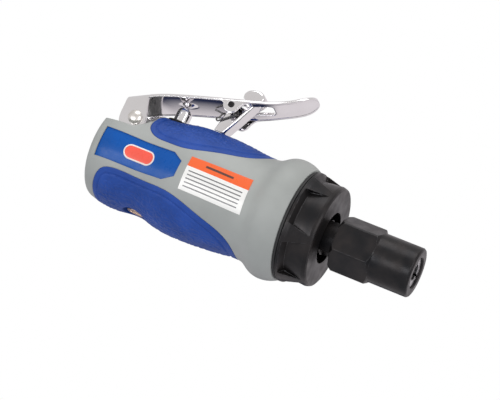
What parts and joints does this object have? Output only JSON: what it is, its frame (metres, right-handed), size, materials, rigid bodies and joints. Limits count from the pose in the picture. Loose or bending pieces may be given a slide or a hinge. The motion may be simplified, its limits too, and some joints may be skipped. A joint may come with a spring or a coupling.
{
  "type": "air die grinder",
  "caption": "Compact pneumatic die grinder with a throttle lever and folding safety catch, rubber grip pads, a castellated clamp ring and a hexagonal collet nut.",
  "frame": {"origin": "centre of the collet's mouth, on the spindle axis", "axes": "+X along the spindle, out of the collet; +Z towards the throttle lever; the label side faces -Y"},
  "size_m": [0.1368, 0.0488, 0.0742],
  "materials": {
    "housing_grey": "satin grey glass-filled composite",
    "grip_blue": "fine leathery grain, satin",
    "plate_blue": "printed inlay under clear lacquer",
    "label": "white sticker with a plain orange band",
    "black_steel": "black oxide, oiled satin",
    "chrome": "polished chrome plate",
    "steel": "ground",
    "spring_steel": "drawn wire",
    "aluminium": "turned",
    "brass": "turned",
    "black_rubber": "matt nitrile",
    "vane_composite": "woven phenolic",
    "black_plastic": "moulded satin",
    "felt": "pressed felt"
  },
  "bodies": {
    "root": {"body_housing": "housing_grey", "upper_grip_pad": "grip_blue", "lower_grip_pad": "grip_blue", "name_plate_right": "plate_blue", "name_plate_left": "plate_blue", "side_label": "label", "clamp_nut": "black_steel", "lever_pin": "chrome", "motor_cylinder": "steel", "motor_liner": "steel", "cylinder_pin": "steel", "front_bearing_outer_race": "steel", "rear_bearing_outer_race": "steel", "air_inlet_bushing": "steel", "valve_spring": "spring_steel", "wave_washer": "spring_steel", "regulator_retaining_ring": "spring_steel", "front_end_plate": "aluminium", "rear_end_plate": "aluminium", "valve_bushing": "brass", "inlet_screen": "brass", "front_seal": "black_rubber", "rear_gasket": "black_rubber", "stem_seal": "black_rubber", "inlet_seal": "black_rubber", "exhaust_deflector": "black_plastic", "silencer_felt": "felt"},
    "spindle": {"rotor": "steel", "rotor_vanes": "vane_composite", "front_bearing_inner_race": "steel", "rear_bearing_inner_race": "steel", "spindle_spacer": "steel", "collet_body": "black_steel", "collet": "steel", "collet_nut": "black_steel"},
    "front_ball_set": {"front_bearing_balls": "steel"},
    "rear_ball_set": {"rear_bearing_balls": "steel"},
    "lever": {"throttle_lever": "chrome", "catch_pin": "steel"},
    "catch": {"safety_catch": "chrome", "catch_spring": "spring_steel"},
    "stem": {"valve_stem": "chrome", "valve_poppet": "black_rubber"},
    "regulator": {"regulator_screw": "brass", "regulator_seal": "black_rubber"}
  },
  "joints": [
    {"name": "spindle_spin", "type": "hinge", "parent": "root", "child": "spindle", "pos_m": [0, 0, 0], "axis": [1, 0, 0], "continuous": true},
    {"name": "front_balls_orbit", "type": "hinge", "parent": "root", "child": "front_ball_set", "pos_m": [0, 0, 0], "axis": [1, 0, 0], "continuous": true},
    {"name": "rear_balls_orbit", "type": "hinge", "parent": "root", "child": "rear_ball_set", "pos_m": [0, 0, 0], "axis": [1, 0, 0], "continuous": true},
    {"name": "lever_press", "type": "hinge", "parent": "root", "child": "lever", "pos_m": [-0.1247, 0, 0.0138], "axis": [0, 1, 0], "range_deg": [0, 7], "stiffness_Nm_per_rad": 1, "springref_deg": -17.19},
    {"name": "catch_release", "type": "hinge", "parent": "lever", "child": "catch", "pos_m": [-0.0911, 0, 0.0326], "axis": [0, 1, 0], "range_deg": [0, 50.4], "deforming": ["catch_spring"]},
    {"name": "stem_slide", "type": "slide", "parent": "root", "child": "stem", "axis": [0, 0, -1], "range_m": [0, 0.00184], "deforming": ["valve_spring"]},
    {"name": "regulator_turn", "type": "hinge", "parent": "root", "child": "regulator", "pos_m": [-0.111, 0, -0.018], "axis": [0, 0, -1], "range_deg": [0, 90]}
  ],
  "couplings": [
    {"joint": "front_balls_orbit", "follows": "spindle_spin", "ratio": 0.36778},
    {"joint": "rear_balls_orbit", "follows": "spindle_spin", "ratio": 0.36},
    {"joint": "catch_release", "follows": "lever_press", "ratio": 7.2},
    {"joint": "stem_slide", "follows": "lever_press", "m_per_rad": 0.015}
  ]
}
